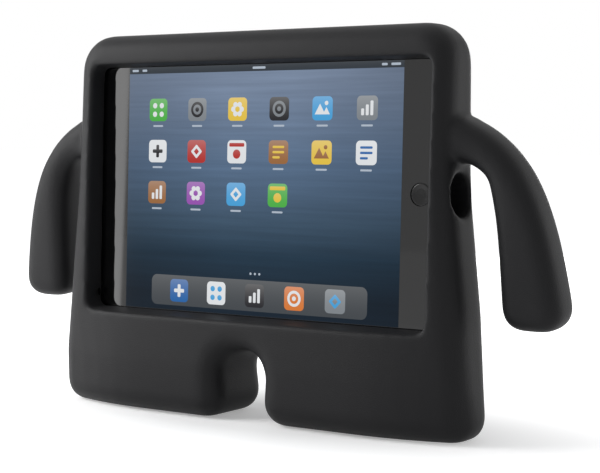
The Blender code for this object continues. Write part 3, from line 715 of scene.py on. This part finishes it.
TILE_ROWS = (
    (("leaf", "paper", motif_dots), ("stone", "coal", motif_ring), ("sun", "paper", motif_petals),
     ("coal", "stone", motif_ring), ("sky", "paper", motif_hills), ("stone", "paper", motif_steps)),
    (("paper", "coal", motif_cross), ("brick", "paper", motif_diamond), ("paper", "brick", motif_band),
     ("clay", "sun", motif_lines), ("sun", "clay", motif_hills), ("paper", "sea", motif_lines)),
    (("clay", "paper", motif_steps), ("plum", "paper", motif_petals), ("sky", "paper", motif_diamond),
     ("leaf", "sun", motif_band)),
)
TRAY_TILES = (
    ("sea", "paper", motif_cross), ("paper", "sky", motif_dots), ("coal", "paper", motif_steps),
    ("peach", "paper", motif_ring), ("stone", "sky", motif_diamond),
)


def add_tile(tiles, motifs, centre, tile_tint, motif_tint, motif):
    """A rounded tile and the motif on it."""
    add_plate(tiles, centre, (TILE_SIZE, TILE_SIZE), TILE_LAYER, TILE_CORNER, TINTS.index(tile_tint))
    motif(motifs, centre, TILE_SIZE, MOTIF_LAYER, TINTS.index(motif_tint), TINTS.index(tile_tint))


tiles = bmesh.new()
motifs = bmesh.new()
labels = bmesh.new()
for row, row_tiles in enumerate(TILE_ROWS):
    for column, (tile_tint, motif_tint, motif) in enumerate(row_tiles):
        across = (column - (COLUMNS - 1) / 2) * COLUMN_PITCH
        centre = (across, TOP_ROW - row * ROW_PITCH - TILE_SIZE / 2)
        add_tile(tiles, motifs, centre, tile_tint, motif_tint, motif)
        add_plate(labels, (across, centre[1] - LABEL_DROP), LABEL_SIZE, LABEL_LAYER, LABEL_CORNER)
for column, (tile_tint, motif_tint, motif) in enumerate(TRAY_TILES):
    across = (column - (len(TRAY_TILES) - 1) / 2) * TRAY_PITCH
    add_tile(tiles, motifs, (across, TRAY_HEIGHT), tile_tint, motif_tint, motif)
for index in (-1, 0, 1):
    dot_centre = (index * PAGE_DOT_PITCH, TRAY_HEIGHT + PAGE_DOT_RISE)
    add_disc(labels, dot_centre, PAGE_DOT_RADIUS, LABEL_LAYER, sides=PAGE_DOT_SIDES)
header_middle = PICTURE_HEIGHT / 2 - HEADER_HEIGHT / 2
for across, length in HEADER_MARKS:
    add_plate(labels, (across, header_middle), (length, HEADER_MARK_HEIGHT), LABEL_LAYER, LABEL_CORNER)

tray = bmesh.new()
add_plate(tray, (0.0, TRAY_HEIGHT), TRAY_SIZE, BAR_LAYER, TRAY_CORNER)
header = bmesh.new()
add_plate(header, (0.0, header_middle), (PICTURE_WIDTH, HEADER_HEIGHT), BAR_LAYER)

tile_glows = [make_glow("glow_" + tint, colour, 0.12) for tint, colour in TILE_COLOURS.items()]
motif_glows = [make_glow("glow_motif_" + tint, colour, 0.08) for tint, colour in TILE_COLOURS.items()]
picture_piece("screen_tiles", tiles, tile_glows)
picture_piece("screen_motifs", motifs, motif_glows)
picture_piece("screen_labels", labels, [make_glow("glow_label", (0.40, 0.46, 0.54), 0.05)])
picture_piece("screen_tray", tray, [make_glow("glow_tray", (0.055, 0.062, 0.070), 0.06)])
picture_piece("screen_header", header, [make_glow("glow_header", (0.034, 0.042, 0.052), 0.02)])


# Finishes of the tablet's own pieces

FINISHES = {
    "tablet_rear_shell": dark_metal,
    "front_glass": black_glass,
    "display_panel": black_plastic,
    "home_button": dished_plastic,
    "home_button_switch": steel,
    "front_camera": black_plastic,
    "rear_camera": black_plastic,
    "rear_camera_cover": black_glass,
    "battery_left": pouch,
    "battery_right": pouch,
    "logic_board": board,
    "speaker_upper": black_plastic,
    "speaker_lower": black_plastic,
    "charging_socket": steel,
    "headphone_socket": black_plastic,
    "sleep_button": dark_metal,
    "sleep_switch": steel,
    "volume_up_button": dark_metal,
    "volume_down_button": dark_metal,
    "mute_slider": dark_metal,
    "side_switch_strip": steel,
}
for name, material in FINISHES.items():
    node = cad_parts[name]
    for slot in node.material_slots:
        slot.material = material


# Floor, world, lamps and camera

def seen_rays(tree):
    """1 for rays from the camera, and for those that a mirror or glass sends on."""
    rays = tree.nodes.new("ShaderNodeLightPath")
    seen = add_math(tree, "MAXIMUM", rays.outputs["Is Camera Ray"], rays.outputs["Is Glossy Ray"])
    return add_math(tree, "MAXIMUM", seen, rays.outputs["Is Transmission Ray"])


def make_world():
    world = bpy.data.worlds.new("studio")
    bpy.context.scene.world = world
    world.use_nodes = True
    tree = world.node_tree
    tree.nodes.clear()
    white = add_node(tree, "ShaderNodeBackground", Color=WHITE, Strength=1.0)
    soft = add_node(tree, "ShaderNodeBackground", Color=AMBIENT_COLOUR, Strength=AMBIENT)
    chosen = tree.nodes.new("ShaderNodeMixShader")
    tree.links.new(seen_rays(tree), chosen.inputs[0])
    tree.links.new(soft.outputs[0], chosen.inputs[1])
    tree.links.new(white.outputs[0], chosen.inputs[2])
    leave = tree.nodes.new("ShaderNodeOutputWorld")
    tree.links.new(chosen.outputs[0], leave.inputs["Surface"])


def make_floor():
    """A pale floor that is seen as white away from the object and keeps its shadow."""
    bm = bmesh.new()
    bmesh.ops.create_grid(bm, x_segments=1, y_segments=1, size=FLOOR_HALF)
    mesh = bpy.data.meshes.new("floor")
    bm.to_mesh(mesh)
    bm.free()
    floor = bpy.data.objects.new("floor", mesh)
    bpy.context.scene.collection.objects.link(floor)
    material, tree, shader = new_material("pale_floor", FLOOR_COLOUR, FLOOR_ROUGHNESS, specular=0.0)
    place = tree.nodes.new("ShaderNodeTexCoord").outputs["Object"]
    away = tree.nodes.new("ShaderNodeVectorMath")
    away.operation = "LENGTH"
    squeezed = add_node(tree, "ShaderNodeMapping", Vector=place, Scale=(GLOW_STRETCH, 1.0, 1.0))
    tree.links.new(squeezed.outputs["Vector"], away.inputs[0])
    glow = add_node(
        tree, "ShaderNodeMapRange", Value=away.outputs["Value"], From_Min=GLOW_NEAR_RADIUS,
        From_Max=GLOW_FAR_RADIUS, To_Min=FLOOR_GLOW_NEAR, To_Max=FLOOR_GLOW_FAR)
    strength = add_math(tree, "MULTIPLY", glow.outputs["Result"], seen_rays(tree))
    tree.links.new(strength, shader.inputs["Emission Strength"])
    shader.inputs["Emission Color"].default_value = WHITE
    mesh.materials.append(material)


def add_softbox(name, place, aim, width, height, power):
    """A flat lamp turned towards a point, which the camera doesn't see."""
    lamp = bpy.data.lights.new(name, "AREA")
    lamp.shape = "RECTANGLE"
    lamp.size = width
    lamp.size_y = height
    lamp.energy = power
    item = bpy.data.objects.new(name, lamp)
    bpy.context.scene.collection.objects.link(item)
    item.location = place
    item.rotation_euler = (Vector(aim) - Vector(place)).to_track_quat("-Z", "Y").to_euler()
    item.visible_camera = False


def add_camera():
    data = bpy.data.cameras.new("camera")
    data.lens = CAMERA_LENS
    data.sensor_width = CAMERA_SENSOR
    data.clip_start = CAMERA_CLIP_START
    data.clip_end = CAMERA_CLIP_END
    camera = bpy.data.objects.new("camera", data)
    bpy.context.scene.collection.objects.link(camera)
    camera.location = plane.translation + CAMERA_OFFSET
    level = math.cos(CAMERA_ELEVATION)
    ahead = Vector((
        -math.sin(CAMERA_AZIMUTH) * level, math.cos(CAMERA_AZIMUTH) * level, -math.sin(CAMERA_ELEVATION)))
    camera.rotation_euler = ahead.to_track_quat("-Z", "Y").to_euler()
    bpy.context.scene.camera = camera


make_world()
make_floor()
for softbox in SOFTBOXES:
    add_softbox(*softbox)
add_camera()
bpy.context.scene.view_settings.view_transform = "Standard"
